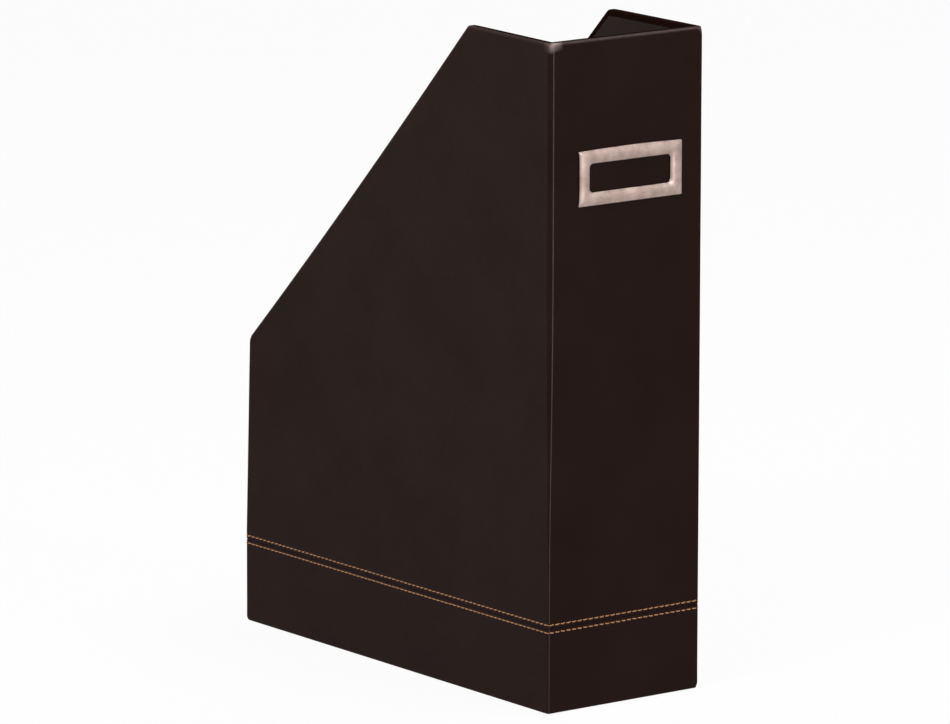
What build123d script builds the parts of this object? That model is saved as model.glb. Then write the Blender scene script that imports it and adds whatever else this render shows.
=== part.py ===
"""A magazine file: a tall open box of greyboard walls, wrapped in soft brown leatherette.

The spine, with its metal label holder, faces -Y. The low front faces +Y. The two sides are at -X
and +X. Z is up, and the origin is the middle of the base, on the surface that the file stands on.
All sizes are in millimetres.
"""

from build123d import *
from math import cos, radians, tan
import os

# Outside of the covered box
file_width = 88.0
file_depth = 238.0
file_height = 311.0
front_height = 138.5
slant_angle = 45.0
corner_radius = 2.0
rim_corner_radius = 1.5
foot_radius = 0.8

# Sheet materials: wall board, covering, covering where it is turned in, lining and corner tape
board = 2.5
skin = 1.0
fold = 0.6
sheet = 0.4
tape = 0.2

# The left side leans inwards above lean_start, evenly with height. At the full height, a share u of
# the depth from the spine, it has leant in by lean_reach * u * (1 - lean_fade * u**lean_power)
lean_start = 45.0
lean_reach = 10.2
lean_fade = 0.36
lean_power = 6
lean_stations = 12

# How far each sheet is turned over or stops short
turn_in = 18.0
turn_under = 15.0
lining_margin = 3.0
base_sheet_margin = 4.0
stay_reach = 10.0

# The seam between the upper cover and the base band, with a row of stitches on each side of it
seam_height = 40.3
seam_roll = 0.5
row_offset = 1.8
stitch_pitch = 3.1
stitch_length = 2.5
thread_width = 0.65
thread_rise = 0.25
channel_depth = 0.3

# Label holder on the spine, its middle this far below the rim and this far to the +X side
holder_width = 59.7
holder_height = 25.4
holder_depth = 1.4
holder_metal = 0.6
holder_corner = 0.6
holder_drop = 63.8
holder_shift = 1.7
holder_arch = 0.5
holder_edge = 0.4
window_width = 46.6
window_height = 13.2
window_corner = 1.5
prong_width = 2.5
prong_spacing = 15.0
prong_tip = 4.5
prong_clearance = 0.1

# The two ends of each cover meet on the front wall, this far from its +X corner
closing_joint_inset = 6.0
closing_joint_gap = 0.3

# A cutting tool runs this far past what it cuts
past = 10.0

half_width = file_width / 2
spine_y = -file_depth / 2
front_y = file_depth / 2
wall = skin + board
inner = wall + fold + sheet
board_foot = sheet + fold
base_top = board_foot + board
block_top = file_height + past
slant = tan(radians(slant_angle))
holder_z = file_height - holder_drop


def between_sides(inset):
    """The block between the leaning left side and the upright right side, both moved in by inset."""
    half = half_width - inset
    full_share = (block_top - lean_start) / (file_height - lean_start)
    shares = [station / lean_stations for station in range(lean_stations + 1)]
    leans = [lean_reach * u * (1 - lean_fade * u**lean_power) for u in shares]
    depths = [spine_y + u * file_depth for u in shares]
    with BuildPart() as block:
        for height, share in ((lean_start, 0.0), (block_top, full_share)):
            with BuildSketch(Plane.XY.offset(height)):
                with BuildLine():
                    left = [(share * lean - half, y) for lean, y in zip(leans, depths)]
                    Spline(*left)
                    Polyline(left[-1], (half, front_y), (half, spine_y), left[0])
                make_face()
        loft(ruled=True)
        with BuildSketch(Plane.XY.offset(lean_start)):
            Rectangle(2 * half, file_depth)
        extrude(amount=-lean_start)
    return block.part


with BuildPart() as outer_block:
    add(between_sides(0))
    corner_edges = outer_block.edges().filter_by(lambda edge: edge.bounding_box().size.Z > lean_start / 2)
    fillet(corner_edges, corner_radius)

tape_block = between_sides(skin - tape)
board_block = between_sides(skin)
inner_block = between_sides(wall)
fold_block = between_sides(wall + fold)
cavity_block = between_sides(inner)


def slab(y_from, y_to, z_from, z_to):
    """A box over the whole width, between two depths and two heights."""
    with BuildPart() as box:
        with BuildSketch(Plane.XY.offset(z_from)):
            with Locations((0, (y_from + y_to) / 2)):
                Rectangle(file_width + past, y_to - y_from)
        extrude(amount=z_to - z_from)
    return box.part


def under_rim(drop):
    """Everything that lies more than drop below the rim: level, slanting, then level in front."""
    level = file_height - drop
    slant_shift = drop / cos(radians(slant_angle))
    corner_y = front_y - (level - front_height + slant_shift) / slant
    front_low = front_height - slant_shift
    with BuildPart() as below:
        with BuildSketch(Plane.YZ):
            with BuildLine():
                Polyline(
                    (spine_y - past, -past),
                    (spine_y - past, level),
                    (corner_y, level),
                    (front_y + past, front_low - past * slant),
                    (front_y + past, -past),
                    close=True,
                )
            make_face()
        extrude(amount=half_width + past, both=True)
        rim_corner = below.edges().filter_by(Axis.X).sort_by_distance((0, corner_y, level))[0]
        fillet(rim_corner, rim_corner_radius)
        add(over_front(drop), mode=Mode.SUBTRACT)
    return below.part


def over_front(drop):
    """The space over the level top of the front wall, that top lowered by drop."""
    with BuildPart() as over:
        add(fold_block)
        add(slab(front_y - inner, front_y, front_height - drop, block_top), mode=Mode.INTERSECT)
    return over.part


below_rim = under_rim(0)
below_board_rim = under_rim(skin)
below_lining_rim = under_rim(lining_margin)
below_turn_in = under_rim(turn_in)


def row_band(height, breadth, outward, inward):
    """A level band round the foot of the walls, from outward of their surface to inward of it."""
    with BuildPart() as band:
        with BuildSketch(Plane.XY.offset(height - breadth / 2)):
            RectangleRounded(
                file_width + 2 * outward, file_depth + 2 * outward, corner_radius + outward
            )
            RectangleRounded(
                file_width - 2 * inward, file_depth - 2 * inward, corner_radius - inward, mode=Mode.SUBTRACT
            )
        extrude(amount=breadth)
    return band.part


def prongs(clearance):
    """The four prongs of the label holder, clinched flush into the back of the spine board."""
    leg = wall + holder_depth / 2
    with BuildPart() as clinched:
        for side in (-1, 1):
            leg_x = holder_shift + side * (holder_width - holder_metal) / 2
            tip_x = leg_x - side * (prong_tip - holder_metal) / 2
            for up in (-1, 1):
                z = holder_z + up * prong_spacing / 2
                with Locations((leg_x, spine_y + wall - leg / 2, z)):
                    Box(holder_metal + 2 * clearance, leg, prong_width + 2 * clearance)
                with Locations((tip_x, spine_y + wall - holder_metal / 2, z)):
                    Box(prong_tip + 2 * clearance, holder_metal, prong_width + 2 * clearance)
    return clinched.part


prong_slots = prongs(prong_clearance)
row_heights = (seam_height + row_offset, seam_height - row_offset)

# The hollow inside the walls, down to the base board, narrower where the cover is turned in
with BuildPart() as turn_in_cavity:
    add(inner_block)
    add(slab(spine_y + wall, front_y - wall, 0, block_top), mode=Mode.INTERSECT)
    add(below_turn_in, mode=Mode.INTERSECT)
with BuildPart() as rim_cavity:
    add(fold_block)
    add(slab(spine_y + wall + fold, front_y - wall - fold, 0, block_top), mode=Mode.INTERSECT)


# Boards: the two sides run the full depth, and the spine, the front and the base fit between them
with BuildPart() as board_space:
    add(board_block)
    add(slab(spine_y + skin, front_y - skin, board_foot, block_top), mode=Mode.INTERSECT)

with BuildPart() as both_side_boards:
    add(board_space.part)
    add(inner_block, mode=Mode.SUBTRACT)
    add(below_board_rim, mode=Mode.INTERSECT)
side_boards = both_side_boards.part.solids().sort_by(Axis.X)

with BuildPart() as side_board_left:
    add(side_boards[0])

with BuildPart() as side_board_right:
    add(side_boards[-1])

with BuildPart() as spine_board:
    add(inner_block)
    add(slab(spine_y + skin, spine_y + wall, board_foot, file_height - skin), mode=Mode.INTERSECT)
    add(prong_slots, mode=Mode.SUBTRACT)

with BuildPart() as front_board:
    add(inner_block)
    add(slab(front_y - wall, front_y - skin, board_foot, front_height - skin), mode=Mode.INTERSECT)

with BuildPart() as base_board:
    add(inner_block)
    add(slab(spine_y + wall, front_y - wall, board_foot, base_top), mode=Mode.INTERSECT)

boards = (side_board_left, side_board_right, spine_board, front_board, base_board)


# Corner stays: an L of gummed paper tape over each upright board joint, under the cover
def corner_stay(side, end, top):
    """The tape on one corner: side is -1 or 1 along X, end is -1 or 1 along Y."""
    tape_y = end * (front_y - skin + tape - (stay_reach + tape) / 2)
    with BuildPart() as stay:
        add(tape_block)
        with BuildSketch(Plane.XY.offset(board_foot)):
            with Locations((side * half_width, tape_y)):
                Rectangle(2 * (skin + stay_reach), stay_reach + tape)
        extrude(amount=top - board_foot, mode=Mode.INTERSECT)
        add(board_space.part, mode=Mode.SUBTRACT)
        add(prong_slots, mode=Mode.SUBTRACT)
    return stay


corner_stays = {
    "corner_stay_spine_left": corner_stay(-1, -1, file_height - skin),
    "corner_stay_spine_right": corner_stay(1, -1, file_height - skin),
    "corner_stay_front_left": corner_stay(-1, 1, front_height - skin),
    "corner_stay_front_right": corner_stay(1, 1, front_height - skin),
}


# What both covers make room for: the stays, the stitch channels and their own closing joint
with BuildPart() as cover_cuts:
    for stay in corner_stays.values():
        add(stay.part)
    for row_height in row_heights:
        add(row_band(row_height, thread_width, skin, channel_depth))
    with BuildSketch():
        with Locations((half_width - closing_joint_inset, front_y)):
            Rectangle(closing_joint_gap, 2 * inner)
    extrude(amount=block_top)

# Upper cover: round the outside, over the rim and down inside as a turn-in
with BuildPart() as upper_cover:
    add(outer_block.part)
    add(slab(spine_y, front_y, seam_height, block_top), mode=Mode.INTERSECT)
    fillet(upper_cover.edges().group_by(Axis.Z)[0], seam_roll)
    add(below_rim, mode=Mode.INTERSECT)
    for piece in boards:
        add(piece.part, mode=Mode.SUBTRACT)
    add(turn_in_cavity.part, mode=Mode.SUBTRACT)
    add(rim_cavity.part, mode=Mode.SUBTRACT)
    add(prong_slots, mode=Mode.SUBTRACT)
    add(cover_cuts.part, mode=Mode.SUBTRACT)

# Base band: round the foot of the walls and turned under the base board
with BuildPart() as base_band:
    with BuildSketch(Plane.XY.offset(sheet)):
        RectangleRounded(file_width, file_depth, corner_radius)
    extrude(amount=seam_height - sheet)
    fillet(base_band.edges().group_by(Axis.Z)[-1], seam_roll)
    fillet(base_band.edges().group_by(Axis.Z)[0], foot_radius)
    add(board_space.part, mode=Mode.SUBTRACT)
    with BuildSketch():
        Rectangle(file_width - 2 * turn_under, file_depth - 2 * turn_under)
    extrude(amount=board_foot, mode=Mode.SUBTRACT)
    add(cover_cuts.part, mode=Mode.SUBTRACT)

# Base sheet: glued under the base, over the turned edge of the band
with BuildPart() as base_sheet:
    with BuildSketch():
        RectangleRounded(
            file_width - 2 * base_sheet_margin, file_depth - 2 * base_sheet_margin, corner_radius
        )
    extrude(amount=board_foot)
    add(base_band.part, mode=Mode.SUBTRACT)


# Stitching: the thread lies in its channel, and each stitch stands a little proud of the cover
def stitching(height):
    """One row of running stitches round all four walls."""
    side_count = int((file_depth - 2 * corner_radius) / stitch_pitch)
    end_count = int((file_width - 2 * corner_radius) / stitch_pitch)
    stitch_shift = thread_rise - channel_depth
    with BuildPart() as thread:
        with BuildSketch(Plane.XY.offset(height - thread_width / 2)):
            RectangleRounded(
                file_width - channel_depth, file_depth - channel_depth, corner_radius - channel_depth / 2
            )
            with GridLocations(file_width + stitch_shift, stitch_pitch, 2, side_count):
                Rectangle(thread_rise + channel_depth, stitch_length)
            with GridLocations(stitch_pitch, file_depth + stitch_shift, end_count, 2):
                Rectangle(stitch_length, thread_rise + channel_depth)
            RectangleRounded(
                file_width - 2 * channel_depth,
                file_depth - 2 * channel_depth,
                corner_radius - channel_depth,
                mode=Mode.SUBTRACT,
            )
        extrude(amount=thread_width)
    return thread


upper_stitching = stitching(row_heights[0])
lower_stitching = stitching(row_heights[1])

# Linings: a sheet on each inner wall and on the base, over the turned-in cover
with BuildPart() as both_side_linings:
    add(inner_block)
    add(cavity_block, mode=Mode.SUBTRACT)
    add(slab(spine_y + wall, front_y - wall, base_top, block_top), mode=Mode.INTERSECT)
    add(below_lining_rim, mode=Mode.INTERSECT)
    add(upper_cover.part, mode=Mode.SUBTRACT)
side_linings = both_side_linings.part.solids().sort_by(Axis.X)

with BuildPart() as lining_left:
    add(side_linings[0])

with BuildPart() as lining_right:
    add(side_linings[-1])

with BuildPart() as lining_spine:
    add(cavity_block)
    add(slab(spine_y + wall, spine_y + inner, base_top, file_height - lining_margin), mode=Mode.INTERSECT)
    add(upper_cover.part, mode=Mode.SUBTRACT)

with BuildPart() as lining_front:
    add(cavity_block)
    add(slab(front_y - inner, front_y - wall, base_top, front_height - lining_margin), mode=Mode.INTERSECT)
    add(upper_cover.part, mode=Mode.SUBTRACT)

with BuildPart() as lining_base:
    add(cavity_block)
    add(slab(spine_y + inner, front_y - inner, base_top, base_top + sheet), mode=Mode.INTERSECT)

# Label holder: a stamped frame, open at the top for a card, with its prongs clinched behind
with BuildPart() as label_holder:
    with BuildSketch(Plane.XZ.offset(-spine_y)) as holder_face:
        with BuildLine(Plane((holder_shift, spine_y, holder_z), x_dir=(1, 0, 0), z_dir=(0, -1, 0))):
            low = -holder_height / 2
            high = holder_height / 2
            side = holder_width / 2
            Polyline((-side, high), (-side, low), (side, low), (side, high))
            ThreePointArc((side, high), (0, high + holder_arch), (-side, high))
        make_face()
        fillet(holder_face.vertices(), holder_corner)
        with Locations((holder_shift, holder_z)):
            RectangleRounded(window_width, window_height, window_corner, mode=Mode.SUBTRACT)
    extrude(amount=holder_depth)
    fillet(label_holder.faces().sort_by(Axis.Y)[0].edges(), holder_edge)
    with BuildSketch(Plane.XZ.offset(-spine_y)):
        with Locations((holder_shift, holder_z + holder_metal + holder_arch)):
            Rectangle(holder_width - 2 * holder_metal, holder_height + 2 * holder_arch)
    extrude(amount=holder_depth - holder_metal, mode=Mode.SUBTRACT)
    add(prongs(0))

pieces = {
    "side_board_left": side_board_left,
    "side_board_right": side_board_right,
    "spine_board": spine_board,
    "front_board": front_board,
    "base_board": base_board,
    **corner_stays,
    "upper_cover": upper_cover,
    "base_band": base_band,
    "base_sheet": base_sheet,
    "upper_stitching": upper_stitching,
    "lower_stitching": lower_stitching,
    "lining_left": lining_left,
    "lining_right": lining_right,
    "lining_spine": lining_spine,
    "lining_front": lining_front,
    "lining_base": lining_base,
    "label_holder": label_holder,
}

os.makedirs("parts", exist_ok=True)
for name, piece in pieces.items():
    piece.part.label = name
    export_step(piece.part, f"parts/{name}.step")
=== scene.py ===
"""Looks of the magazine file: leatherette wrap, topstitching, label holder, papers and studio.

Everything is in metres, in the same frame as the solid model: Z up, the spine with its label
holder facing -Y, the low front facing +Y, and the origin in the middle of the base.
"""

import logging
import math
from dataclasses import dataclass, field
from enum import Enum

import bpy
import numpy as np
from mathutils import Matrix, Vector


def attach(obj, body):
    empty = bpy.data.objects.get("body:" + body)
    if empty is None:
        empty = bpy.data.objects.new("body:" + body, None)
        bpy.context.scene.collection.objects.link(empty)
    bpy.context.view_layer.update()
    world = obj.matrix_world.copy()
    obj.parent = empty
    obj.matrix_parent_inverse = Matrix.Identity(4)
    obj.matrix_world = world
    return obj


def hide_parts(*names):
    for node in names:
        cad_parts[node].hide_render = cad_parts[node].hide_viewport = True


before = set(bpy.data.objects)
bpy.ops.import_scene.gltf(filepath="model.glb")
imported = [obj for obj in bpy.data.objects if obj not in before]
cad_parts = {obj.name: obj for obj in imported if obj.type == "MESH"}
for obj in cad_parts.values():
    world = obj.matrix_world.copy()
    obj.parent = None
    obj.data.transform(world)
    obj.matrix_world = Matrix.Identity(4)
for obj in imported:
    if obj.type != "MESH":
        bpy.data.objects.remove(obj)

LOG = logging.getLogger("magazine_file")
MM = 0.001
PHOTO_WIDTH_PX = 950.0
EDGE_MAP = "edges"
Array = np.ndarray
Socket = bpy.types.NodeSocket


class Wall(Enum):
    """The four walls that a perimeter runs along, in order, as their outward direction."""

    SPINE = (0.0, -1.0)
    RIGHT = (1.0, 0.0)
    FRONT = (0.0, 1.0)
    LEFT = (-1.0, 0.0)


def grid_faces(rows: int, columns: int, close_rows: bool, close_columns: bool) -> tuple[Array, Array]:
    """Faces of a grid of points, and their UV map.

    Args:
        rows: Number of rows of points. Seen from outside, they run upwards.
        columns: Number of points in a row. Seen from outside, they run to the right.
        close_rows: Whether the last row joins the first.
        close_columns: Whether the last column joins the first.

    Returns:
        Array of faces by 4 point numbers, and array of face corners by 2, which holds the shares
        of the columns and of the rows.
    """
    row = np.arange(rows if close_rows else rows - 1)[:, None]
    column = np.arange(columns if close_columns else columns - 1)[None, :]
    next_row = (row + 1) % rows
    next_column = (column + 1) % columns
    quads = np.stack(
        [
            row * columns + column,
            row * columns + next_column,
            next_row * columns + next_column,
            next_row * columns + column,
        ],
        axis=-1,
    )
    u = np.stack([column, column + 1, column + 1, column], axis=-1) / columns
    v = np.stack([row, row, row + 1, row + 1], axis=-1) / rows
    uv = np.stack(np.broadcast_arrays(u, v), axis=-1)
    return quads.reshape(-1, 4), uv.reshape(-1, 2)


def grid_mesh(
    name: str, points: Array, close_rows: bool, close_columns: bool, marks: Array | None = None
) -> bpy.types.Object:
    """Makes a smooth mesh object from one grid of points.

    Args:
        name: Name of the object and its mesh.
        points: Array of rows by columns by 3, in metres.
        close_rows: Whether the last row joins the first.
        close_columns: Whether the last column joins the first.
        marks: Rows by columns by 2, values for a second UV map, or None for no such map.

    Returns:
        The linked object.
    """
    quads, uv = grid_faces(*points.shape[:2], close_rows, close_columns)
    thing = mesh_object(name, points.reshape(-1, 3), quads, uv)
    if marks is not None:
        layer = thing.data.uv_layers.new(name=EDGE_MAP)
        layer.data.foreach_set("uv", marks.reshape(-1, 2)[quads.ravel()].astype(np.float32).ravel())
    return thing


def join_grids(name: str, points: Array) -> bpy.types.Object:
    """Makes one mesh of many tubes of one size, such as a row of stitches.

    Args:
        name: Name of the object and its mesh.
        points: Array of tubes by rings by points of a ring by 3, in metres.

    Returns:
        The linked object, whose UV map repeats on each tube.
    """
    copies, rows, columns = points.shape[:3]
    one, uv = grid_faces(rows, columns, False, True)
    quads = (one + np.arange(copies)[:, None, None] * rows * columns).reshape(-1, 4)
    return mesh_object(name, points.reshape(-1, 3), quads, np.tile(uv, (copies, 1)))


def mesh_object(name: str, points: Array, faces: Array, uv: Array) -> bpy.types.Object:
    """Links a mesh object made from whole arrays.

    Args:
        name: Name of the object and its mesh.
        points: Array of corners by 3, in metres.
        faces: Array of faces by corner numbers, anticlockwise from outside.
        uv: Array of face corners by 2.

    Returns:
        The linked object, smooth shaded.
    """
    mesh = bpy.data.meshes.new(name)
    mesh.from_pydata(points.tolist(), [], faces.tolist())
    layer = mesh.uv_layers.new(name="surface")
    layer.data.foreach_set("uv", uv.astype(np.float32).ravel())
    mesh.polygons.foreach_set("use_smooth", np.ones(len(mesh.polygons), dtype=bool))
    mesh.update()
    thing = bpy.data.objects.new(name, mesh)
    bpy.context.scene.collection.objects.link(thing)
    return thing


@dataclass(frozen=True)
class Perimeter:
    """Columns round the file's plan: a rounded rectangle, anticlockwise from above.

    Attributes:
        share: Place of each column on the flat walls, from -1 to 1 along X and along Y.
        normal: Outward unit direction of each column.
        along: Distance of each column along the outline.
        stitch: Stitch count reached at each column, whole at each needle hole.
    """

    share: Array
    normal: Array
    along: Array
    stitch: Array


@dataclass(frozen=True)
class FileForm:
    """The outside form that the cover, the band and the stitches share, in metres."""

    width: float = 88.0 * MM
    depth: float = 238.0 * MM
    height: float = 311.0 * MM
    front_height: float = 138.5 * MM
    slant: float = 1.0
    corner_radius: float = 1.0 * MM
    near_radius_low: float = 0.6 * MM
    near_radius_high: float = 2.2 * MM
    near_radius_from: float = 50.0 * MM
    near_radius_to: float = 200.0 * MM
    rim_corner_ease: float = 0.35 * MM
    lean_start: float = 45.0 * MM
    lean_reach: float = 10.2 * MM
    lean_fade: float = 0.36
    lean_power: int = 6
    board: float = 2.5 * MM
    skin: float = 1.0 * MM
    fold: float = 0.6 * MM
    sheet: float = 0.4 * MM
    seam_height: float = 40.3 * MM
    row_offset: float = 1.8 * MM
    side_stitches: int = 75
    end_stitches: int = 27

    def perimeter(self, per_stitch: int, per_corner: int, edge_steps: int = 0) -> Perimeter:
        """Lays columns round the outline, wall by wall and corner by corner.

        A wall is a straight run of whole stitches. A corner is a quarter circle that takes one
        stitch.

        Args:
            per_stitch: Columns for each stitch on a wall.
            per_corner: Columns for each corner.
            edge_steps: Columns in the first and the last stitch of a wall, in place of per_stitch.

        Returns:
            The columns.
        """
        half = np.array([self.width / 2, self.depth / 2]) - self.corner_radius
        shares, normals, alongs, stitches = [], [], [], []
        travelled, counted = 0.0, 0
        for wall in Wall:
            out = np.array(wall.value)
            ahead = np.array([-out[1], out[0]])
            run = 2 * abs(ahead @ half)
            count = self.end_stitches if out[0] == 0.0 else self.side_stitches
            step = np.arange(count * per_stitch) / per_stitch
            if edge_steps:
                fine = np.arange(2 * edge_steps) / edge_steps
                step = np.concatenate([fine, step[(step >= 2) & (step < count - 2)], count - 2 + fine])
            share = step / count
            shares.append(out + ahead * (2 * share[:, None] - 1))
            normals.append(np.tile(out, (share.size, 1)))
            alongs.append(travelled + share * run)
            stitches.append(counted + step)
            travelled += run
            counted += count
            turn = np.arange(per_corner) / per_corner
            angle = turn[:, None] * math.pi / 2
            shares.append(np.tile(out + ahead, (per_corner, 1)))
            normals.append(out * np.cos(angle) + ahead * np.sin(angle))
            alongs.append(travelled + turn * self.corner_radius * math.pi / 2)
            stitches.append(counted + turn)
            travelled += self.corner_radius * math.pi / 2
            counted += 1
        return Perimeter(*(np.concatenate(parts) for parts in (shares, normals, alongs, stitches)))

    def rim(self, y: Array) -> tuple[Array, Array]:
        """Height and fall of the rim: level over the spine, then down at the slant.

        The two straight stretches meet in a hyperbola, so that the corner between them is eased.

        Args:
            y: Places along the depth.

        Returns:
            The rim's height and its slope along Y.
        """
        line = self.front_height + (self.depth / 2 - y) * self.slant
        half_gap = (self.height - line) / 2
        bend = np.sqrt(half_gap**2 + self.rim_corner_ease**2)
        height = (self.height + line) / 2 - bend
        return height, -self.slant / 2 * (1 + half_gap / bend)

    def lean(self, x: Array, y: Array, z: Array) -> Array:
        """How far the left side leans in: its reach times u times (1 - fade times u to a power).

        The lean grows evenly with height, and u is the share of the depth from the spine. The
        right side stands upright.

        Args:
            x: Places along the width, which tell the sides apart.
            y: Places along the depth.
            z: Heights.

        Returns:
            The lean at each point.
        """
        u = np.clip(y / self.depth + 0.5, 0.0, 1.0)
        rise = np.clip((z - self.lean_start) / (self.height - self.lean_start), 0.0, None)
        lean = self.lean_reach * u * (1 - self.lean_fade * u**self.lean_power) * rise
        return np.where(x < 0, lean, 0.0)

    def corner(self, share: Array, z: Array) -> Array:
        """Radius of the upright corners.

        It is even, but for the corner of the spine and the left side, where the covering stands
        off the board: there it eases from the low radius to the high one by a smooth step.

        Args:
            share: Places on the flat walls, from -1 to 1 along X and along Y, as columns by 2.
            z: Heights, as rows by columns or one height.

        Returns:
            The radius at each point.
        """
        run = self.near_radius_to - self.near_radius_from
        step = np.clip((z - self.near_radius_from) / run, 0.0, 1.0)
        growth = self.near_radius_high - self.near_radius_low
        near = self.near_radius_low + growth * step**2 * (3 - 2 * step)
        weight = ((1 - share[..., 0]) / 2) ** 4 * ((1 - share[..., 1]) / 2) ** 4
        return self.corner_radius + (near - self.corner_radius) * weight

    def place(self, columns: Perimeter, inset: Array, z: Array) -> Array:
        """Points of a surface round the file.

        A point keeps its column's place on the outline, drawn in by its inset: inside the corner
        radius along the corner's normal, and further in as a mitre. Then the lean moves it in X.

        Args:
            columns: Columns round the outline.
            inset: Rows by columns, how far in from the outer surface, negative for outside.
            z: Rows by columns, heights.

        Returns:
            Rows by columns by 3.
        """
        radius = self.corner(columns.share, z)
        half = np.array([self.width / 2, self.depth / 2])
        reach = half - radius[..., None]
        bound = half - np.maximum(inset, radius)[..., None]
        flat = np.clip(columns.share * reach, -bound, bound)
        flat = flat + columns.normal * np.maximum(radius - inset, 0.0)[..., None]
        x, y = flat[..., 0], flat[..., 1]
        share = np.clip(np.abs(x) / (self.width / 2 - np.maximum(inset, 0.0)), 0.0, 1.0)
        x = x - np.sign(x) * self.lean(x, y, z) * share
        return np.stack([x, y, np.broadcast_to(z, x.shape)], axis=-1)

    def corner_distance(self, columns: Perimeter) -> Array:
        """Distance of each column from each corner, along the flat walls.

        Args:
            columns: Columns round the outline.

        Returns:
            Columns by 4, one distance for each corner, from the one after the spine wall on.
        """
        half = np.array([self.width / 2, self.depth / 2])
        out = []
        for corner in ((1, -1), (1, 1), (-1, 1), (-1, -1)):
            away = np.abs(columns.share - np.array(corner)) * half
            out.append(away.sum(axis=-1))
        return np.stack(out, axis=-1)

    def rounding(self, columns: Perimeter, drops: tuple[float, ...], reach: float) -> Array:
        """How far an edge is cut back at each corner: a quarter ellipse, seen along a wall.

        Args:
            columns: Columns round the outline.
            drops: Full cut of each corner, in the order of corner_distance.
            reach: Distance from the corner over which the cut runs out.

        Returns:
            The cut at each column.
        """
        share = np.clip(1 - self.corner_distance(columns) / reach, 0.0, 1.0)
        return ((1 - np.sqrt(1 - share**2)) * np.array(drops)).sum(axis=-1)


def soft_waves(along: Array, height: Array, scale: float, seed: int) -> Array:
    """A gentle unevenness from -1 to 1: a sum of six sine waves with fixed seeded directions.

    Args:
        along: Distance along the outline.
        height: Height of each point.
        scale: Mean wavelength.
        seed: Seed of the directions and phases.

    Returns:
        The wave's value at each point.
    """
    source = np.random.default_rng(seed)
    total = np.zeros(np.broadcast(along, height).shape)
    for heading, phase, stretch in zip(
        source.uniform(0, math.pi, 6), source.uniform(0, 2 * math.pi, 6), source.uniform(0.6, 1.8, 6)
    ):
        travel = along * math.cos(heading) + height * math.sin(heading)
        total += np.sin(2 * math.pi * travel / (scale * stretch) + phase)
    return total / 6


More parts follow.
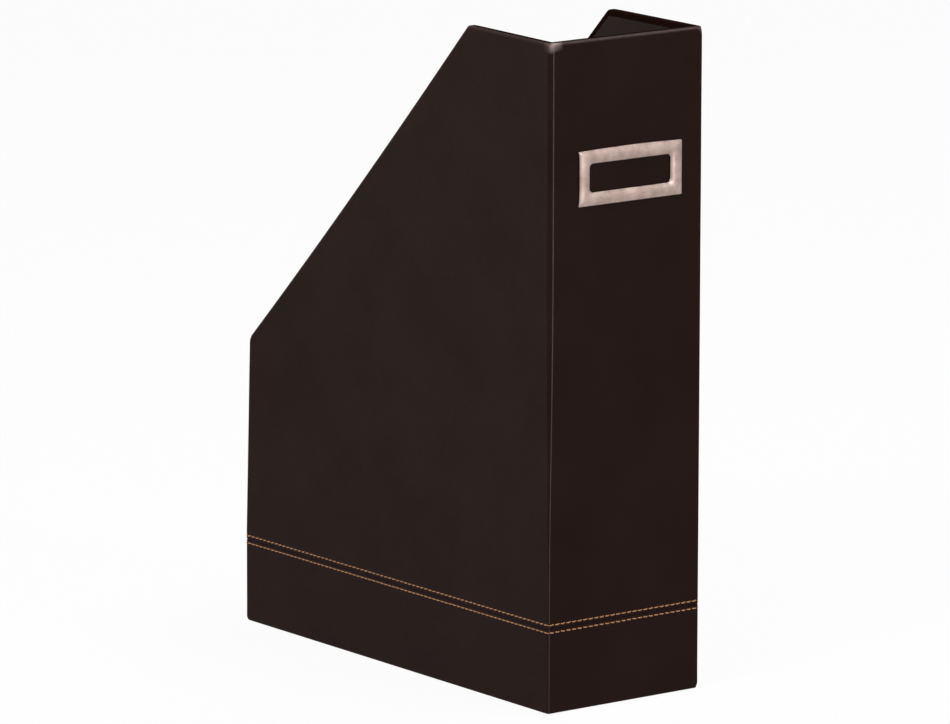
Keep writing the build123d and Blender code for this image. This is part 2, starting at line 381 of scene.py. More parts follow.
@dataclass
class LeatheretteWrap:
    """The soft covering: the upper cover over the rim, and the band round the foot."""

    form: FileForm
    columns_per_stitch: int = 4
    columns_per_corner: int = 14
    columns_at_edge: int = 10
    rim_roll: float = 1.1 * MM
    inner_roll: float = 0.8 * MM
    rim_drops: tuple[float, ...] = (3.4 * MM, 1.2 * MM, 1.2 * MM, 0.8 * MM)
    rim_drop_reach: float = 2.8 * MM
    foot_drops: tuple[float, ...] = (2.0 * MM, 1.2 * MM, 1.2 * MM, 0.6 * MM)
    foot_drop_reach: float = 2.0 * MM
    mark_scale: float = 100.0
    line_radius: float = 1.5 * MM
    turn_in: float = 18.0 * MM
    foot_roll: float = 0.8 * MM
    stitch_dip: float = 0.32 * MM
    stitch_dip_width: float = 0.55 * MM
    waviness: float = 0.05 * MM
    columns: Perimeter = field(init=False)

    def __post_init__(self) -> None:
        """Lays the columns that both pieces share."""
        self.columns = self.form.perimeter(
            self.columns_per_stitch, self.columns_per_corner, self.columns_at_edge
        )

    def marks(self, from_rim: Array) -> Array:
        """Values for the map of edge distances, which places the painted highlights and the gloss,
        scaled up so that they stand clear of zero.

        Args:
            from_rim: Rows by columns, distance below the rim's outer edge, negative over it.

        Returns:
            Rows by columns by 2: the distance from the spine's edge at the left corner, and
            from_rim.
        """
        turned = np.arccos(np.clip(-self.columns.normal[:, 1], -1.0, 1.0))
        line = self.form.corner_distance(self.columns)[:, 3] + turned * self.line_radius
        return np.stack(np.broadcast_arrays(line * self.mark_scale, from_rim * self.mark_scale), axis=-1)

    def stitch_dips(self, z: Array) -> Array:
        """Depth of the two channels that the thread pulls into the covering.

        Each is a bell curve across the row, deeper at the needle holes than between them.

        Args:
            z: Rows by columns, heights.

        Returns:
            The depth at each point.
        """
        pull = 0.72 + 0.28 * np.cos(2 * math.pi * self.columns.stitch)
        dips = np.zeros(z.shape)
        for side in (-1, 1):
            row_z = self.form.seam_height + side * self.form.row_offset
            dips += np.exp(-(((z - row_z) / self.stitch_dip_width) ** 2)) * pull
        return self.stitch_dip * dips

    def upper_cover(self) -> bpy.types.Object:
        """The upper cover as one closed skin.

        Its profile rises from the seam, follows the wall to the rim, rolls over the board's edge,
        runs down inside as the turned-in edge, and comes back against the board. At each corner
        the rim is cut back on its outer edge, in full on the wall and not at all on top.
        """
        form = self.form
        wall = form.skin + form.board
        inner = wall + form.fold
        quarter = np.radians(np.linspace(0, 90, 8))
        foot_in = np.array([form.skin, 0.72 * MM, 0.46 * MM, 0.22 * MM, 0.06 * MM, 0.0])
        foot_up = np.array([0.04 * MM, 0.0, 0.0, 0.08 * MM, 0.26 * MM, 0.5 * MM])
        seam_up = np.concatenate([np.arange(0.7, 3.1, 0.2), [3.5, 4.2, 5.2]]) * MM
        face_share = np.linspace(0.0, 1.0, 34)
        roll_in = self.rim_roll * (1 - np.cos(quarter))
        roll_down = self.rim_roll * (1 - np.sin(quarter))
        top_in = np.linspace(self.rim_roll, inner - self.inner_roll, 6)[1:-1]
        over_in = inner - self.inner_roll * (1 - np.sin(quarter))
        over_down = self.inner_roll * (1 - np.cos(quarter))
        inside_down = np.array([1.6, 3.0, 6.0, 11.0, 17.7]) * MM
        back_down = np.array([12.0, 6.0, 2.0, 1.0]) * MM
        return_share = np.linspace(1.0, 0.0, 12)

        def row(inset: Array, share: Array, up: Array, down: Array) -> Array:
            """Rows of inset, share of the wall, rise above the seam and drop below the rim."""
            return np.stack(np.broadcast_arrays(inset, share, up, down), axis=-1)

        rows = np.concatenate(
            [
                row(foot_in, 0.0, foot_up, 0.0),
                row(0.0, 0.0, seam_up, 0.0),
                row(0.0, face_share, 6.4 * MM, 2.2 * MM),
                row(0.0, 1.0, 0.0, np.array([1.7, 1.35]) * MM),
                row(roll_in, 1.0, 0.0, roll_down),
                row(top_in, 1.0, 0.0, 0.0),
                row(over_in, 1.0, 0.0, over_down),
                row(inner, 1.0, 0.0, inside_down),
                row(np.array([inner - 0.1 * MM, wall]), 1.0, 0.0, self.turn_in),
                row(wall, 1.0, 0.0, back_down),
                row(np.array([0.6 * wall, form.skin]), 1.0, 0.0, form.skin),
                row(form.skin, return_share[1:-1], 2.0 * MM, 4.0 * MM),
            ]
        )
        inset, share, up, down = (rows[:, i : i + 1] for i in range(4))
        outer_y = self.columns.share[:, 1] * (form.depth / 2 - form.corner_radius)
        outer_y = outer_y + self.columns.normal[:, 1] * form.corner_radius
        rim_z, rim_slope = form.rim(outer_y)
        cut = form.rounding(self.columns, self.rim_drops, self.rim_drop_reach)
        cut = cut * np.clip(down / self.rim_roll, 0.0, 1.0) * (inset < self.rim_roll)
        rim_z = rim_z - cut
        steep = 1 + (np.sqrt(1 + rim_slope**2) - 1) * np.abs(self.columns.normal[:, 0])
        z = (1 - share) * (form.seam_height + up) + share * (rim_z - down * steep)
        outside = (inset < 0.5 * MM) & (down <= self.rim_roll * 2.3)
        waves = soft_waves(self.columns.along, z, 70 * MM, 11) * self.waviness
        dip = self.stitch_dips(z) + np.clip(waves, -self.waviness, self.waviness) + self.waviness
        points = form.place(self.columns, inset + np.where(outside, dip, 0.0), z)
        from_rim = np.where(inset > form.skin, -inset, (rim_z - z) / steep)
        return grid_mesh("leatherette_upper_cover", points, True, True, self.marks(from_rim))

    def base_band(self) -> bpy.types.Object:
        """The base band as one closed skin.

        Its profile starts under the base, mitred at the corners, rolls up round the foot of the
        wall and rises to the seam, then comes back down against the boards.
        """
        form = self.form
        quarter = np.radians(np.linspace(0, 90, 8))
        board_foot = form.sheet + form.fold
        under_in = np.array([15.0, 14.9, 10.0, 5.0, 2.5]) * MM
        under_z = np.array([1.0, 0.45, 0.4, 0.4, 0.4]) * MM
        foot_in = self.foot_roll * (1 - np.sin(quarter))
        foot_z = form.sheet + self.foot_roll * (1 - np.cos(quarter))
        face_z = np.linspace(2.0 * MM, form.seam_height - 4.4 * MM, 16)
        stitch_z = form.seam_height - np.concatenate([[3.8, 3.3], np.arange(2.9, 0.6, -0.2)]) * MM
        roll_in = np.array([0.0, 0.05, 0.2, 0.45, 0.72, 1.0]) * MM
        roll_z = form.seam_height - np.array([0.55, 0.3, 0.1, 0.0, 0.0, 0.04]) * MM
        back_z = np.array([30.0, 20.0, 10.0, 1.0]) * MM
        inset = np.concatenate(
            [
                under_in,
                foot_in,
                np.zeros(face_z.size + stitch_z.size),
                roll_in,
                np.full(back_z.size, form.skin),
                np.array([6.0, 11.0]) * MM,
            ]
        )[:, None]
        z = np.concatenate(
            [under_z, foot_z, face_z, stitch_z, roll_z, back_z, np.full(2, board_foot)]
        )[:, None] + np.zeros(self.columns.along.size)
        outside = (inset < 0.5 * MM) & (z > 1.5 * MM)
        waves = soft_waves(self.columns.along, z, 60 * MM, 23) * self.waviness
        fade = np.clip((z - 1.5 * MM) / (6 * MM), 0.0, 1.0)
        dip = self.stitch_dips(z) + (waves + self.waviness) * fade
        cut = form.rounding(self.columns, self.foot_drops, self.foot_drop_reach)
        z = z + cut * (1 - fade) * np.clip(1 - inset / self.foot_roll, 0.0, 1.0)
        points = form.place(self.columns, inset + np.where(outside, dip, 0.0), z)
        marks = self.marks(np.full(z.shape, form.height))
        return grid_mesh("leatherette_base_band", points, True, True, marks)


@dataclass
class Topstitching:
    """Two rows of thread round the file, one each side of the seam."""

    form: FileForm
    length_share: float = 0.86
    thread_radius: float = 0.31 * MM
    rise: float = 0.24 * MM
    sink: float = 0.55 * MM
    tilt: float = 0.10 * MM
    stations: int = 9
    sides: int = 8

    def row(self, name: str, side: int) -> bpy.types.Object:
        """One row of stitches.

        A stitch is a round thread along an arched line: its middle stands proud of the covering
        and its ends dive into the needle holes. It lies a little askew, as a lockstitch does.

        Args:
            name: Name of the piece.
            side: 1 for the row above the seam and -1 for the row below.

        Returns:
            The row as one object.
        """
        form = self.form
        total = 2 * (form.side_stitches + form.end_stitches + 2)
        dense = form.perimeter(24, 24)
        step = np.linspace(-0.5, 0.5, self.stations)
        count = (np.arange(total)[:, None] + 0.5 + step * self.length_share).ravel()
        share, normal = (
            np.stack([np.interp(count, dense.stitch, part, period=total) for part in values.T], axis=-1)
            for values in (dense.share, dense.normal)
        )
        normal /= np.linalg.norm(normal, axis=-1, keepdims=True)
        step = np.tile(step, total)
        arch = self.rise - self.sink * (2 * np.abs(step)) ** 3.0
        drift = soft_waves(count * 3.1 * MM, np.zeros(count.size), 9 * MM, 40 + side) * 0.06 * MM
        turn = np.arange(self.sides) * 2 * math.pi / self.sides
        radius = self.thread_radius * (1 - 0.25 * (2 * np.abs(step)) ** 2)
        out = arch[:, None] - self.thread_radius + radius[:, None] * np.cos(turn) * 0.85
        lift = drift[:, None] + side * self.tilt * step[:, None] * 2 + radius[:, None] * np.sin(turn)
        row_z = form.seam_height + side * form.row_offset
        corner = form.corner(share, row_z)[:, None]
        x = share[:, 0:1] * (form.width / 2 - corner) + normal[:, 0:1] * (corner + out)
        y = share[:, 1:2] * (form.depth / 2 - corner) + normal[:, 1:2] * (corner + out)
        points = np.stack([x, y, row_z + lift], axis=-1).reshape(total, self.stations, self.sides, 3)
        middle = points.mean(axis=2, keepdims=True)
        tips = [np.repeat(middle[:, i : i + 1], self.sides, axis=2) for i in (0, -1)]
        points = np.concatenate([tips[0], points, tips[1]], axis=1)
        return join_grids(name, points)


@dataclass
class LabelHolder:
    """The stamped metal frame on the spine, a soft dome between its outer edge and its window.

    The section is given from the outer edge to the window and back behind: front_across and
    back_across are shares of the way, front_out and back_out are millimetres off the covering.
    """

    form: FileForm
    width: float = 59.7 * MM
    height: float = 25.4 * MM
    drop: float = 63.8 * MM
    shift: float = 1.7 * MM
    metal: float = 0.6 * MM
    corner: float = 0.6 * MM
    arch: float = 0.5 * MM
    waist: float = 0.7 * MM
    window_width: float = 46.6 * MM
    window_height: float = 13.2 * MM
    window_corner: float = 2.0 * MM
    prong_width: float = 2.5 * MM
    prong_spacing: float = 15.0 * MM
    prong_tip: float = 4.5 * MM
    columns_along: int = 40
    columns_up: int = 20
    columns_corner: int = 10
    front_across: tuple[float, ...] = (
        0, 0, 0.004, 0.02, 0.06, 0.13, 0.24, 0.38, 0.54, 0.70, 0.82, 0.90, 0.95, 0.985, 1.0, 1.0,
    )
    front_out: tuple[float, ...] = (
        0, 0.55, 0.72, 0.86, 0.98, 1.12, 1.26, 1.37, 1.40, 1.36, 1.24, 1.06, 0.92, 0.74, 0.55, 0.38,
    )
    back_across: tuple[float, ...] = (0.96, 0.86, 0.70, 0.5, 0.3, 0.16, 0.11, 0.10)
    back_out: tuple[float, ...] = (0.34, 0.55, 0.78, 0.84, 0.76, 0.58, 0.3, 0.0)
    prong_clear: float = 0.05 * MM
    section_points: int = 12

    def outline(self, width: float, height: float, radius: float, arch: float) -> Array:
        """A rounded rectangle as columns by 2, anticlockwise from outside, its top edge arched.

        Corners are quarter circles. The arch lifts a point by its share of a parabola over the
        width, in full at the top and not at all in the lower half.

        Args:
            width: Width of the rectangle.
            height: Height of the rectangle.
            radius: Radius of its corners.
            arch: Rise of the top edge at its middle.

        Returns:
            The outline's points.
        """
        points = []
        for turn, across, up in ((0, 1, -1), (90, 1, 1), (180, -1, 1), (270, -1, -1)):
            angle = np.radians(turn - 90 + np.linspace(0, 90, self.columns_corner))
            centre = np.array([across * (width / 2 - radius), up * (height / 2 - radius)])
            arc = centre + radius * np.stack([np.cos(angle), np.sin(angle)], axis=-1)
            points.append(arc)
            ahead = np.array([(1, 0), (0, 1), (-1, 0), (0, -1)][(turn // 90 + 1) % 4])
            run = 2 * np.abs(ahead) @ np.array([width / 2 - radius, height / 2 - radius])
            count = self.columns_up if ahead[1] else self.columns_along
            share = np.arange(1, count)[:, None] / count
            points.append(arc[-1] + share * run * ahead)
        line = np.concatenate(points)
        top_share = np.clip(line[:, 1] / (height / 2), 0, 1)
        line[:, 1] += arch * top_share * (1 - (line[:, 0] / (width / 2)) ** 2)
        return line

    def frame(self) -> bpy.types.Object:
        """The frame as one closed skin.

        Each column joins a point of the outer outline to one of the window's outline. Across it
        the front rises from the covering, domes and rolls into the window, and the back follows
        behind it. The left edge is drawn in between its two corners, as the waist.
        """
        outer = self.outline(self.width, self.height, self.corner, self.arch)
        left = np.clip(-2 * outer[:, 0] / self.width, 0.0, 1.0) ** 12
        level = np.clip(np.abs(2 * outer[:, 1] / self.height), 0.0, 1.0)
        outer[:, 0] += self.waist * left * (1 - level**6)
        window = self.outline(self.window_width, self.window_height, self.window_corner, 0.0)
        share = np.concatenate([self.front_across, self.back_across])[:, None, None]
        stand = np.concatenate([self.front_out, self.back_out])[:, None] * MM
        flat = outer * (1 - share) + window * share
        x = self.shift + flat[..., 0]
        z = self.form.height - self.drop + flat[..., 1]
        y = np.broadcast_to(-self.form.depth / 2 - stand, x.shape)
        return grid_mesh("label_holder_frame", np.stack([x, y, z], axis=-1), True, True)

    def prongs(self) -> bpy.types.Object:
        """The four prongs: a flat strip carried along an L, through the spine and clinched behind.

        The strip's section is a rounded rectangle, and the L's corner is a quarter circle.
        """
        half = np.array([self.metal / 2, self.prong_width / 2])
        turn = np.linspace(0, 2 * math.pi, self.section_points, endpoint=False)
        section = np.stack([np.cos(turn), np.sin(turn)], axis=-1)
        section = np.sign(section) * np.abs(section) ** 0.35 * half
        back = -self.form.depth / 2 + self.form.skin + self.form.board - self.metal / 2
        bend = np.radians(np.linspace(0, 90, 7))
        radius = self.metal
        leg_x = (self.width - self.metal) / 2 - self.waist - self.prong_clear
        leg_y = np.linspace(-self.form.depth / 2 - 0.6 * MM, back - radius, 4)
        tip_x = np.linspace(leg_x - radius - 0.3 * MM, leg_x - self.prong_tip, 4)
        curve_x = leg_x - radius * (1 - np.cos(bend))
        curve_y = back - radius * (1 - np.sin(bend))
        path_x = np.concatenate([np.full(4, leg_x), curve_x[1:], tip_x])
        path_y = np.concatenate([leg_y, curve_y[1:], np.full(4, back)])
        path = np.stack([path_x, path_y], axis=-1)
        heading = np.gradient(path, axis=0)
        heading /= np.linalg.norm(heading, axis=-1, keepdims=True)
        across = np.stack([heading[:, 1], -heading[:, 0]], axis=-1)
        plan = path[:, None] + across[:, None] * section[None, :, 0:1]
        up = np.broadcast_to(section[None, :, 1], plan.shape[:2])
        strip = np.concatenate([plan, up[..., None]], axis=-1)
        middle = np.repeat(strip.mean(axis=1, keepdims=True), self.section_points, axis=1)
        strip = np.concatenate([middle[:1], strip, middle[-1:]])
        copies = []
        for side in (-1, 1):
            for level in (-1, 1):
                one = strip * np.array([side, 1.0, 1.0])
                one = one if side > 0 else one[:, ::-1]
                height = self.form.height - self.drop + level * self.prong_spacing / 2
                copies.append(one + np.array([self.shift, 0, height]))
        return join_grids("label_holder_prongs", np.stack(copies))


class Finish:
    """Base of every finish: a material with its node tree and a few short helpers."""

    def __init__(self, name: str) -> None:
        """Starts an empty material with a Principled shader."""
        self.material = bpy.data.materials.new(name)
        self.material.use_nodes = True
        self.nodes = self.material.node_tree.nodes
        self.links = self.material.node_tree.links
        self.shader = self.nodes["Principled BSDF"]
        self.coords = self.nodes.new("ShaderNodeTexCoord")

    def feed(self, socket: Socket, value: Socket | float | tuple[float, ...]) -> None:
        """Links a value to a socket, or sets it there. A colour gets its alpha."""
        if isinstance(value, Socket):
            self.links.new(value, socket)
        else:
            socket.default_value = (*value, 1.0) if socket.type == "RGBA" else value

    def add(self, kind: str, output: str, sockets: dict[str, object], **settings: str) -> Socket:
        """Adds a node.

        Args:
            kind: Type of the node.
            output: Name of the output that is wanted.
            sockets: What each named input is fed.
            settings: The node's own settings.

        Returns:
            The output.
        """
        node = self.nodes.new(kind)
        for key, value in settings.items():
            setattr(node, key, value)
        for key, value in sockets.items():
            self.feed(node.inputs[key], value)
        return node.outputs[output]

    def place(self, scale: tuple[float, float, float], source: str = "Object") -> Socket:
        """Coordinates of the surface, stretched by a scale."""
        where = {"Vector": self.coords.outputs[source], "Scale": scale}
        return self.add("ShaderNodeMapping", "Vector", where)

    def maths(self, operation: str, first: Socket | float, second: Socket | float = 0.0) -> Socket:
        """The result of one operation on two values."""
        node = self.nodes.new("ShaderNodeMath")
        node.operation = operation
        self.feed(node.inputs[0], first)
        self.feed(node.inputs[1], second)
        return node.outputs["Value"]

    def noise(self, where: Socket, scale: float, detail: float, rough: float) -> Socket:
        """A noise value on the given coordinates."""
        sockets = {"Vector": where, "Scale": scale, "Detail": detail, "Roughness": rough}
        return self.add("ShaderNodeTexNoise", "Fac", sockets)

    def spread(self, value: Socket, low: float, high: float, to_low: float, to_high: float) -> Socket:
        """Maps a value from one range to another, held at the ends."""
        ends = {"From Min": low, "From Max": high, "To Min": to_low, "To Max": to_high}
        return self.add("ShaderNodeMapRange", "Result", {"Value": value, **ends})

    def blend(self, factor: Socket, first: Socket | tuple, second: Socket | tuple) -> Socket:
        """A colour between two, by a factor."""
        sockets = {"Factor": factor, "A": first, "B": second}
        return self.add("ShaderNodeMix", "Result", sockets, data_type="RGBA")

    def bump(
        self, height: Socket, strength: float, distance: float, under: Socket | None = None
    ) -> Socket:
        """A bump of a height pattern, on top of another bump if one is given."""
        sockets = {"Height": height, "Strength": strength, "Distance": distance}
        if under is not None:
            sockets["Normal"] = under
        return self.add("ShaderNodeBump", "Normal", sockets)

    def set(self, **sockets: object) -> None:
        """Feeds sockets of the shader by name, an underscore standing for a space."""
        for key, value in sockets.items():
            self.feed(self.shader.inputs[key.replace("_", " ")], value)


@dataclass(frozen=True)
class Leatherette:
    """Soft satin covering, almost smooth, with a very fine pressed grain and a few specks.

    Painted highlights lie along the spine's edges; their widths and heights are in the units of the map
    of edge distances, 10 mm each.
    """

    deep: tuple[float, float, float] = (0.0112, 0.0042, 0.0030)
    faded: tuple[float, float, float] = (0.0144, 0.0056, 0.0041)
    speck: tuple[float, float, float] = (0.030, 0.020, 0.017)
    # painted highlight: a light colour standing in for the lamps' highlight on the spine's rounded edges
    painted_highlight: tuple[float, float, float] = (0.40, 0.30, 0.285)
    line_strength: float = 0.25
    rim_strength: float = 0.20
    patch_strength: float = 0.95
    line_width: float = 0.036
    rim_width: float = 0.10
    patch_width: float = 0.6
    patch_height: float = 0.42
    spine_face: float = -118.5 * MM
    side_share: float = 0.35
    gloss: float = 0.045

    def make(self) -> bpy.types.Material:
        """Builds the material."""
        finish = Finish("leatherette_satin_brown")
        plain = finish.place((1, 1, 1))
        clouds = finish.noise(plain, 28, 4, 0.55)
        mottle = finish.noise(plain, 260, 3, 0.6)
        colour = finish.blend(finish.spread(clouds, 0.35, 0.65, 0, 1), self.deep, self.faded)
        dust = finish.spread(finish.noise(plain, 900, 2, 0.7), 0.70, 0.76, 0, 0.6)
        colour = finish.blend(dust, colour, self.speck)
        edges = finish.nodes.new("ShaderNodeUVMap")
        edges.uv_map = EDGE_MAP
        marks = finish.nodes.new("ShaderNodeSeparateXYZ")
        finish.links.new(edges.outputs["UV"], marks.inputs["Vector"])
        # painted highlight: blends the light colour in along the spine's corner line, the rim's outer
        # edge and the patch where they meet
        colour = finish.blend(self.painted_highlight_factor(finish, marks, mottle), colour, self.painted_highlight)
        cells = {"Vector": plain, "Scale": 1500.0}
        grain = finish.add("ShaderNodeTexVoronoi", "Distance", cells, feature="F1")
        pits = finish.noise(plain, 3200, 3, 0.6)
        relief = finish.bump(grain, 0.12, 0.00012)
        relief = finish.bump(pits, 0.08, 0.0001, relief)
        relief = finish.bump(clouds, 0.15, 0.0012, relief)
        finish.set(
            Base_Color=colour,
            Roughness=finish.spread(mottle, 0.3, 0.7, 0.40, 0.50),
            Normal=relief,
            Specular_IOR_Level=finish.spread(marks.outputs["Y"], -0.02, 0.03, 0.0, self.gloss),
        )
        return finish.material

    def painted_highlight_factor(
        self, finish: Finish, marks: bpy.types.Node, mottle: Socket
    ) -> Socket:
        """How much painted highlight the covering gets where it is stretched over the boards' edges.

        It is painted as a thin line up the corner of the spine and the left side, a line along the rim's
        outer edge that is fainter on the sides than on the spine, and a soft glint patch where the two
        meet.

        Args:
            finish: The material under construction.
            marks: The values of the map of worn edges, split up.
            mottle: A noise that breaks the lines up.

        Returns:
            A factor, highest in the middle of a line.
        """
        object_place = finish.nodes.new("ShaderNodeSeparateXYZ")
        finish.links.new(finish.coords.outputs["Object"], object_place.inputs["Vector"])
        # the spine gets the full painted highlight and the sides only a share of it, following how the
        # light falls
        spine = finish.spread(
            object_place.outputs["Y"], self.spine_face, self.spine_face + MM, 1.0, self.side_share
        )
        upright = finish.spread(marks.outputs["X"], 0.0, self.line_width, self.line_strength, 0.0)
        off_line = finish.maths("SUBTRACT", marks.outputs["Y"], self.rim_width / 2)
        from_middle = finish.maths("ABSOLUTE", off_line)
        rim = finish.spread(from_middle, 0.0, self.rim_width, self.rim_strength, 0.0)
        patch = finish.maths(
            "MULTIPLY",
            finish.spread(marks.outputs["X"], 0.0, self.patch_width, self.patch_strength, 0.0),
            finish.spread(marks.outputs["Y"], 0.0, self.patch_height, 1.0, 0.0),
        )
        over_edge = finish.spread(marks.outputs["Y"], -0.02, 0.0, 0.0, 1.0)
        shown = finish.maths("MULTIPLY", spine, over_edge)
        rim = finish.maths("MULTIPLY", finish.maths("ADD", rim, patch), shown)
        broken = finish.spread(mottle, 0.3, 0.7, 0.6, 1.0)
        return finish.maths("MULTIPLY", finish.maths("MAXIMUM", upright, rim), broken)


@dataclass(frozen=True)
class Thread:
    """Twisted tan thread, tan on its crowns, with painted shade in the twist: a dark colour in its
    grooves.
    """

    light: tuple[float, float, float] = (0.52, 0.25, 0.092)
    # painted shade: this dark colour stands for the shade in the twist's grooves
    dark: tuple[float, float, float] = (0.18, 0.060, 0.015)

    def make(self) -> bpy.types.Material:
        """Builds the material. The twist is a slanted band on the thread's own UV map, which is both
        bumped and coloured dark there as painted shade.
        """
        finish = Finish("thread_twisted_tan")
        where = finish.place((1, 1, 1), "UV")
        bands = {"Vector": where, "Scale": 1.1, "Distortion": 0.6}
        wave = finish.add("ShaderNodeTexWave", "Fac", bands, bands_direction="DIAGONAL")
        fuzz = finish.noise(finish.place((1, 1, 1)), 2600, 3, 0.6)
        # painted shade: the twist's bands darken the thread's colour
        colour = finish.blend(finish.spread(wave, 0.1, 0.7, 0, 1), self.dark, self.light)
        colour = finish.blend(finish.spread(fuzz, 0.55, 0.8, 0, 0.5), colour, self.light)
        relief = finish.bump(wave, 0.5, 0.0002)
        relief = finish.bump(fuzz, 0.3, 0.0001, relief)
        finish.set(Base_Color=colour, Roughness=0.6, Normal=relief, Sheen_Weight=0.15)
        return finish.material


@dataclass(frozen=True)
class BrushedNickel:
    """Warm nickel plate, brushed along its length, with dull blotches and fine scratches."""

    bright: tuple[float, float, float] = (0.50, 0.39, 0.345)
    dull: tuple[float, float, float] = (0.28, 0.20, 0.172)

    def make(self) -> bpy.types.Material:
        """Builds the material."""
        finish = Finish("nickel_brushed_warm")
        plain = finish.place((1, 1, 1))
        strokes = finish.noise(finish.place((60, 900, 2400)), 1.0, 4, 0.6)
        blotches = finish.noise(plain, 160, 4, 0.6)
        lines = finish.noise(finish.place((130, 800, 1500)), 1.0, 2, 0.5)
        scratches = finish.spread(lines, 0.66, 0.72, 0, 0.7)
        colour = finish.blend(finish.spread(blotches, 0.22, 0.70, 0, 1), self.dull, self.bright)
        colour = finish.blend(scratches, colour, self.dull)
        relief = finish.bump(strokes, 0.25, 0.0001)
        relief = finish.bump(blotches, 0.12, 0.0004, relief)
        finish.set(
            Base_Color=colour,
            Metallic=1.0,
            Roughness=finish.spread(strokes, 0.3, 0.7, 0.30, 0.46),
            Normal=relief,
        )
        return finish.material


@dataclass(frozen=True)
class PressedPaper:
    """Paper or board with a fibre mottle: the linings, the base sheet, the tape and the boards."""

    name: str
    light: tuple[float, float, float]
    dark: tuple[float, float, float]
    fibre_scale: float
    roughness: float
    gloss: float = 0.06

    def make(self) -> bpy.types.Material:
        """Builds the material."""
        finish = Finish(self.name)
        plain = finish.place((1, 1, 1))
        fibres = finish.noise(finish.place((1, 1, 3)), self.fibre_scale, 5, 0.65)
        clouds = finish.noise(plain, 35, 3, 0.5)
        grain = finish.noise(plain, self.fibre_scale * 2.4, 2, 0.5)
        colour = finish.blend(finish.spread(fibres, 0.3, 0.7, 0, 1), self.dark, self.light)
        colour = finish.blend(finish.spread(clouds, 0.5, 0.8, 0, 0.35), colour, self.dark)
        relief = finish.bump(grain, 0.25, 0.0002)
        finish.set(
            Base_Color=colour, Roughness=self.roughness, Normal=relief, Specular_IOR_Level=self.gloss
        )
        return finish.material


@dataclass(frozen=True)
class Camera:
    """The photograph's view, solved from the corners of the file. Lengths are in metres."""

    azimuth: float = -37.048
    elevation: float = 11.327
    roll: float = 0.106
    distance: float = 3.7445
    across: float = 2.96 * MM
    up: float = -14.12 * MM
    focal_px: float = 7990.5
    target_height: float = 0.155
    sensor: float = 36.0

    def make(self) -> bpy.types.Object:
        """Places the camera and makes it the scene's camera."""
        a, e, r = (math.radians(v) for v in (self.azimuth, self.elevation, self.roll))
        back = Vector((math.sin(a) * math.cos(e), -math.cos(a) * math.cos(e), math.sin(e)))
        right = (-back).cross(Vector((0, 0, 1))).normalized()
        above = right.cross(-back)
        turned_right = math.cos(r) * right + math.sin(r) * above
        turned_up = -math.sin(r) * right + math.cos(r) * above
        lens = bpy.data.cameras.new("photo_camera")
        lens.sensor_width = self.sensor
        lens.lens = self.focal_px * self.sensor / PHOTO_WIDTH_PX
        lens.clip_end = 100.0
        camera = bpy.data.objects.new("photo_camera", lens)
        place = back * self.distance + turned_right * self.across + turned_up * self.up
        place += Vector((0, 0, self.target_height))
        turn = Matrix((turned_right, turned_up, back)).transposed().to_4x4()
        camera.matrix_world = Matrix.Translation(place) @ turn
        bpy.context.scene.collection.objects.link(camera)
        bpy.context.scene.camera = camera
        return camera


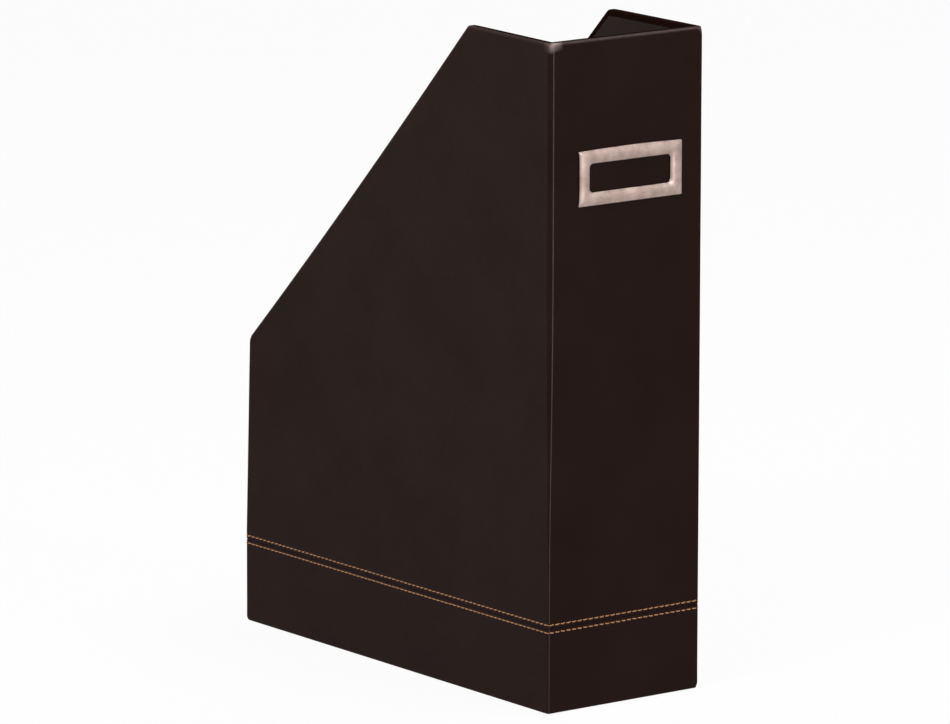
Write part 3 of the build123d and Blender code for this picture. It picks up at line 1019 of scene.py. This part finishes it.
@dataclass
class Studio:
    """Pale floor that sweeps up behind, soft lamps and a pale world."""

    floor_reach: float = 3.6
    sweep_radius: float = 0.9
    wall_height: float = 2.2
    pale: tuple[float, float, float] = (0.86, 0.86, 0.86)
    glow_share: float = 0.95
    fill: float = 0.22

    def pale_material(self) -> bpy.types.Material:
        """Matt white that the camera, mirrors and glass see close to paper white."""
        material = bpy.data.materials.new("studio_paper")
        material.use_nodes = True
        nodes, links = material.node_tree.nodes, material.node_tree.links
        nodes.clear()
        output = nodes.new("ShaderNodeOutputMaterial")
        matt = nodes.new("ShaderNodeBsdfDiffuse")
        matt.inputs["Color"].default_value = (*self.pale, 1)
        glow = nodes.new("ShaderNodeEmission")
        glow.inputs["Strength"].default_value = 1.0
        half = nodes.new("ShaderNodeMixShader")
        half.inputs["Fac"].default_value = self.glow_share
        links.new(matt.outputs[0], half.inputs[1])
        links.new(glow.outputs[0], half.inputs[2])
        choose = nodes.new("ShaderNodeMixShader")
        links.new(self.seen_directly(nodes, links), choose.inputs["Fac"])
        links.new(matt.outputs[0], choose.inputs[1])
        links.new(half.outputs[0], choose.inputs[2])
        links.new(choose.outputs[0], output.inputs["Surface"])
        return material

    def seen_directly(self, nodes: bpy.types.Nodes, links: bpy.types.NodeLinks) -> Socket:
        """A value of one on rays from the camera, from mirrors and through glass, else zero."""
        path = nodes.new("ShaderNodeLightPath")
        total = path.outputs["Is Camera Ray"]
        for ray in ("Is Glossy Ray", "Is Transmission Ray"):
            add = nodes.new("ShaderNodeMath")
            add.operation = "ADD"
            add.use_clamp = True
            links.new(total, add.inputs[0])
            links.new(path.outputs[ray], add.inputs[1])
            total = add.outputs["Value"]
        return total

    def floor(self) -> bpy.types.Object:
        """The round floor with a rising edge, a profile turned about the Z axis.

        The profile is a level run, a quarter circle and a straight rise.
        """
        bend = np.radians(np.linspace(0, 90, 12))
        reach = np.concatenate([
            np.array([0.001, 0.3, 1.0, 2.0]),
            self.floor_reach + self.sweep_radius * np.sin(bend),
            np.full(3, self.floor_reach + self.sweep_radius),
        ])
        rise = np.concatenate([
            np.zeros(4),
            self.sweep_radius * (1 - np.cos(bend)),
            self.sweep_radius + np.linspace(0.3, self.wall_height, 3),
        ])
        turn = np.linspace(0, 2 * math.pi, 96, endpoint=False)
        x = reach[:, None] * np.cos(turn)
        y = reach[:, None] * np.sin(turn)
        z = np.broadcast_to(rise[:, None], x.shape)
        ring = np.stack([x, y, z], axis=-1)
        thing = grid_mesh("studio_floor", ring[:, ::-1], False, True)
        thing.data.materials.append(self.pale_material())
        return thing

    def lamp(self, name: str, place: tuple, aim: tuple, size: tuple, power: float) -> None:
        """Adds one soft white rectangular lamp.

        Args:
            name: Name of the lamp.
            place: Where it stands.
            aim: The point that it faces.
            size: Its width and height.
            power: Its power in watts.
        """
        light = bpy.data.lights.new(name, "AREA")
        light.shape = "RECTANGLE"
        light.size, light.size_y = size
        light.energy = power
        lamp = bpy.data.objects.new(name, light)
        lamp.location = place
        lamp.rotation_euler = (Vector(aim) - Vector(place)).to_track_quat("-Z", "Y").to_euler()
        bpy.context.scene.collection.objects.link(lamp)

    def light(self) -> None:
        """Sets the lamps and the world."""
        middle = (0.0, 0.0, 0.15)
        self.lamp("key_left", (-2.2, -0.6, 1.5), middle, (1.0, 1.0), 40)
        self.lamp("strip_right", (0.45, -1.65, 0.62), middle, (0.25, 1.2), 9)
        self.lamp("top", (0.6, -0.5, 2.3), middle, (1.0, 1.0), 24)
        world = bpy.data.worlds.new("studio_world")
        bpy.context.scene.world = world
        world.use_nodes = True
        nodes, links = world.node_tree.nodes, world.node_tree.links
        soft = nodes["Background"]
        soft.inputs["Color"].default_value = (1, 1, 1, 1)
        level = nodes.new("ShaderNodeMapRange")
        level.inputs["To Min"].default_value = self.fill
        level.inputs["To Max"].default_value = 1.0
        links.new(self.seen_directly(nodes, links), level.inputs["Value"])
        links.new(level.outputs["Result"], soft.inputs["Strength"])


def dress(
    piece: bpy.types.Object, material: bpy.types.Material, nodes: tuple[str, ...] = ()
) -> None:
    """Gives a new piece its material, slot and body, and hides the nodes it stands for."""
    piece.data.materials.append(material)
    if nodes:
        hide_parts(*nodes)
    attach(piece, "root")
    LOG.info("%s: %d faces", piece.name, len(piece.data.polygons))


def dress_nodes(material: bpy.types.Material, names: tuple[str, ...]) -> None:
    """Gives carried-over nodes a material."""
    for name in names:
        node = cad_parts[name]
        node.data.materials.clear()
        node.data.materials.append(material)
        LOG.info("%s keeps its solid form", name)


def main() -> None:
    """Builds and dresses every piece in order."""
    logging.basicConfig(level=logging.INFO, format="%(name)s: %(message)s")
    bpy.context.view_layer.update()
    bpy.context.scene.view_settings.view_transform = "Standard"
    Camera().make()
    studio = Studio()
    studio.floor()
    studio.light()
    form = FileForm()
    leatherette = Leatherette().make()
    thread = Thread().make()
    nickel = BrushedNickel().make()
    wrap = LeatheretteWrap(form)
    dress(wrap.upper_cover(), leatherette, ("upper_cover",))
    dress(wrap.base_band(), leatherette, ("base_band",))
    stitching = Topstitching(form)
    dress(stitching.row("thread_upper_row", 1), thread, ("upper_stitching",))
    dress(stitching.row("thread_lower_row", -1), thread, ("lower_stitching",))
    holder = LabelHolder(form)
    dress(holder.frame(), nickel, ("label_holder",))
    dress(holder.prongs(), nickel)
    brown, deep_brown = (0.0240, 0.0160, 0.0140), (0.0185, 0.0118, 0.0102)
    lining = PressedPaper("lining_paper_brown", brown, deep_brown, 420, 0.6)
    dress_nodes(
        lining.make(), ("lining_left", "lining_right", "lining_spine", "lining_front", "lining_base")
    )
    base_paper = PressedPaper("base_paper_dark", (0.030, 0.024, 0.022), (0.018, 0.014, 0.012), 500, 0.7)
    dress_nodes(base_paper.make(), ("base_sheet",))
    board = PressedPaper("greyboard_fibres", (0.40, 0.37, 0.32), (0.26, 0.24, 0.21), 300, 0.9)
    dress_nodes(
        board.make(),
        ("side_board_left", "side_board_right", "spine_board", "front_board", "base_board"),
    )
    tape = PressedPaper("gummed_tape_buff", (0.52, 0.42, 0.28), (0.42, 0.33, 0.21), 350, 0.8)
    dress_nodes(
        tape.make(),
        (
            "corner_stay_spine_left",
            "corner_stay_spine_right",
            "corner_stay_front_left",
            "corner_stay_front_right",
        ),
    )


if __name__ == "__main__":
    main()
